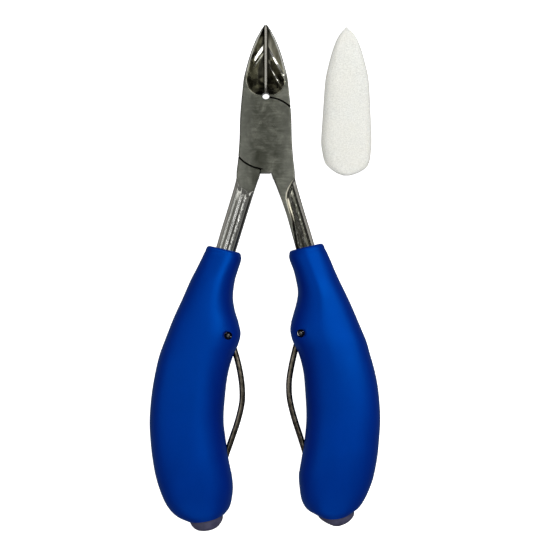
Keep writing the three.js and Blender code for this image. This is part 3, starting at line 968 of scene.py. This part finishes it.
        # The bright lip next to the right shank's crescent is a painted highlight.
        self.lip = self.both(
            self.range(self.z, 0.00755, 0.00785), self.range(self.x, 0.004, 0.005),
            self.range(self.y, -0.0300, -0.0250),
        )
        strip_colour = self.mix(self.right, linear(172, 170, 163), linear(136, 134, 128))
        return self.paint(
            self.mix(streak_share, colour, lines),
            (self.math("MULTIPLY", self.right, 0.97), (47, 47, 41)),
            (self.both(self.right, self.range(self.pits, 0.58, 0.66, 0.0, 0.7)), (120, 120, 112)),
            (self.cream, (246, 240, 216)),
            (self.strip, strip_colour),
            (self.lip, (250, 246, 226)),
        )

    def lap_gap(self):
        """Near-black colour round the lap joint's plates, between 11.0 and 11.65 mm out: on the
        gap's walls below the faces, and on the faces where x and y have the same sign.
        """
        x, y = self.x, self.y
        squares = self.math("ADD", self.both(x, x), self.both(y, y))
        reach = self.math("SQRT", squares)
        ring = self.both(self.range(reach, 0.01100, 0.01106), self.range(reach, 0.01165, 0.01158))
        inside = self.both(self.range(self.z, 0.0001, 0.0003), self.range(self.z, 0.0079, 0.0077))
        face_arcs = self.range(self.both(x, y), 0.0000060, 0.0000140, 0.0, 0.9)
        return self.both(ring, self.most(inside, face_arcs))

    def roughness(self):
        """Polished scoops and shanks, satin flats, and dull painted highlights in the cream band,
        lip and strip.
        """
        polish = self.mix(self.brushed_and_sheen, self.range(self.cloud, 0.3, 0.7, 0.10, 0.18), 0.4)
        polish = self.mix(self.land, polish, 0.5)
        rough = self.mix(self.jaw, self.range(self.blotch, 0.3, 0.7, 0.44, 0.33), polish)
        rough = self.mix(self.forge, rough, self.range(self.along_bar, 0.3, 0.7, 0.2, 0.1))
        dull = self.most(self.both(self.most(self.lip, self.cream), self.forge), self.strip)
        return self.mix(dull, rough, 0.55)


def spring_steel():
    f = Finish("drawn_spring_wire", Metallic=1.0)
    lines = f.noise(2600, 3, 0.6, f.scaled(1, 0.08, 1))
    spots = f.noise(650, 3, 0.6)
    f.set("Base Color", f.ramp(spots, (0.35, linear(62, 57, 49)), (0.65, linear(104, 98, 88))))
    f.set("Roughness", f.range(spots, 0.3, 0.7, 0.18, 0.26))
    f.bump((lines, 0.3, 0.02), (spots, 0.2, 0.03))
    return f


def pin_steel():
    f = Finish("blackened_pin", Metallic=1.0)
    spots = f.noise(1800, 3, 0.6)
    f.set("Base Color", f.ramp(spots, (0.35, linear(38, 38, 38)), (0.65, linear(98, 98, 96))))
    f.set("Roughness", f.range(spots, 0.3, 0.7, 0.25, 0.45))
    f.bump((spots, 0.3, 0.02))
    return f


def blue_skin():
    f = Finish("satin_blue_moulding", Metallic=0.45, Specular_IOR_Level=0.5)
    f.shader.inputs["Specular Tint"].default_value = (0.0, 1.0, 1.0, 1)
    cloud = f.noise(60, 3, 0.5)
    flow = f.noise(240, 3, 0.5, f.scaled(1, 0.3, 1))
    f.set("Base Color", f.ramp(
        f.math("ADD", f.math("MULTIPLY", cloud, 0.6), f.math("MULTIPLY", flow, 0.4)),
        (0.35, (0.0, 0.0120, 0.236, 1)), (0.65, (0.0, 0.0150, 0.266, 1)),
    ))
    off = f.math("ABSOLUTE", f.math("SUBTRACT", f.math("ABSOLUTE", f.axis("X")), 0.0238))
    seam = f.math("MULTIPLY", f.range(off, 0.00022, 0.00008), f.range(f.axis("Y"), -0.066, -0.076))
    grain = f.noise(5200, 2, 0.5)
    skin = f.cells(3300)
    f.set("Roughness", f.range(flow, 0.3, 0.7, 0.43, 0.5))
    f.bump((skin, 0.12, 0.02), (grain, 0.1, 0.02), (seam, 0.25, -0.03))
    return f


def slate_core():
    f = Finish("slate_core_plastic", Specular_IOR_Level=0.4)
    cloud = f.noise(400, 4, 0.6)
    f.set("Base Color", f.ramp(cloud, (0.3, linear(50, 50, 76)), (0.7, linear(76, 74, 100))))
    f.set("Roughness", f.range(cloud, 0.3, 0.7, 0.5, 0.62))
    f.bump((f.noise(3600, 2, 0.5), 0.15, 0.02))
    return f


def guard_plastic():
    f = Finish("frosted_guard_plastic", Specular_IOR_Level=0.35)
    # The emission is a painted glow: it stands in for light coming through the plastic from the
    # white floor.
    f.shader.inputs["Emission Color"].default_value = (1.0, 1.0, 0.95, 1)
    f.shader.inputs["Emission Strength"].default_value = 0.21
    f.shader.inputs["Subsurface Weight"].default_value = 1.0
    f.shader.inputs["Subsurface Scale"].default_value = 0.0025
    f.shader.inputs["Subsurface Radius"].default_value = (1.0, 0.95, 0.85)
    speck = f.noise(2300, 3, 0.7)
    cloud = f.noise(90, 3, 0.5)
    colour = f.ramp(speck, (0.3, linear(176, 177, 173)), (0.7, linear(215, 216, 212)))
    f.set("Base Color", f.mix(f.range(cloud, 0.35, 0.7, 0.0, 0.25), colour, linear(208, 204, 193)))
    f.set("Roughness", f.range(speck, 0.3, 0.7, 0.45, 0.6))
    f.bump((speck, 0.4, 0.06), (cloud, 0.3, 0.15))
    return f


# Pieces

left_lever = lever("left_lever_ground", True)
right_lever = lever("right_lever_ground", False)
rivet = post("pivot_rivet_ground", 0, 0, [
    (RIVET_R + 0.03, 0), (RIVET_R + 0.045, 0.03), (RIVET_R + 0.045, 7.97), (RIVET_R + 0.03, 8.0),
], 128)
shade(rivet, 30)
made = {"left_lever": left_lever, "right_lever": right_lever, "pivot_rivet": rivet}
for side, sign, rows, lobe, at, points, crest in (
    ("left", -1, LEFT_GRIP, LEFT_LOBE, LEFT_PIN, LEFT_WIRE, 0.12),
    ("right", 1, RIGHT_GRIP, RIGHT_LOBE, RIGHT_PIN, RIGHT_WIRE, 0.9),
):
    made[f"{side}_grip"] = grip(side, sign, rows, lobe, at, crest)
    made[f"{side}_core"] = core(side, sign, rows, lobe, at)
    made[f"{side}_spring_pin"] = pin(side, sign, rows, at)
    made[f"{side}_spring"] = spring(side, sign, points, at)
made["tip_guard"] = tip_guard()

BODY = {
    "left_lever": "left_half", "right_lever": "right_half", "pivot_rivet": "left_half",
    "left_grip": "left_half", "left_core": "left_half", "left_spring_pin": "left_half",
    "right_grip": "right_half", "right_core": "right_half", "right_spring_pin": "right_half",
    "left_spring": "left_bow", "right_spring": "right_bow", "tip_guard": "guard",
}
for node, obj in made.items():
    obj.name = node + "_fine"
    obj.data.name = node + "_fine"
    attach(obj, BODY[node])
    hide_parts(node)

Steel().on(made["left_lever"], made["right_lever"], made["pivot_rivet"])
blue_skin().on(made["left_grip"], made["right_grip"])
slate_core().on(made["left_core"], made["right_core"])
spring_steel().on(made["left_spring"], made["right_spring"])
pin_steel().on(made["left_spring_pin"], made["right_spring_pin"])
guard_plastic().on(made["tip_guard"])

# Floor, light and camera, in metres but for the floor's corners

CENTRE = Vector((0.003, -0.0446, 0.004))
CAMERA_X, CAMERA_DISTANCE = 0.00292, 0.6522
FLOOR_HALF, FLOOR_Z = 1500, REST_Z - 0.05
floor = mesh_object("floor", [
    (x * FLOOR_HALF, y * FLOOR_HALF, FLOOR_Z) for x, y in ((-1, -1), (1, -1), (1, 1), (-1, 1))
], [(0, 1, 2, 3)])
paper = Finish("white_paper", Roughness=0.9)
paper.shader.inputs["Base Color"].default_value = (0.9, 0.9, 0.9, 1)
paper.shader.inputs["Emission Color"].default_value = (1, 1, 1, 1)
paper.shader.inputs["Emission Strength"].default_value = 1.0
paper.on(floor)
floor.visible_glossy = False
floor.visible_diffuse = False

world = bpy.data.worlds.new("studio")
bpy.context.scene.world = world
world.use_nodes = True
world.node_tree.nodes["Background"].inputs["Color"].default_value = (1.0, 1.0, 1.0, 1)
world.node_tree.nodes["Background"].inputs["Strength"].default_value = 0.25


def softbox(name, place, size_x, size_y, power):
    """A soft light that points at the middle of the object."""
    lamp = bpy.data.lights.new(name, "AREA")
    lamp.shape = "RECTANGLE"
    lamp.size, lamp.size_y = size_x, size_y
    lamp.energy = power
    obj = bpy.data.objects.new(name, lamp)
    bpy.context.scene.collection.objects.link(obj)
    obj.location = place
    obj.rotation_euler = (CENTRE - Vector(place)).to_track_quat("-Z", "Y").to_euler()


softbox("key", (0.28, 0.14, 0.53), 0.26, 0.55, 2.2)
softbox("fill", (-0.30, -0.05, 0.50), 0.16, 0.60, 0.55)
softbox("top", (0.0, 0.45, 0.42), 0.70, 0.18, 1.3)
softbox("near", (0.0, -0.50, 0.45), 0.60, 0.20, 0.6)

camera_data = bpy.data.cameras.new("camera")
camera_data.sensor_width = 36
camera_data.lens = 135
camera_data.clip_start, camera_data.clip_end = 0.01, 20
camera = bpy.data.objects.new("camera", camera_data)
bpy.context.scene.collection.objects.link(camera)
camera.location = (CAMERA_X, CENTRE.y, CENTRE.z + CAMERA_DISTANCE)
camera.rotation_euler = (0, 0, 0)
bpy.context.scene.camera = camera
bpy.context.scene.view_settings.view_transform = "Standard"
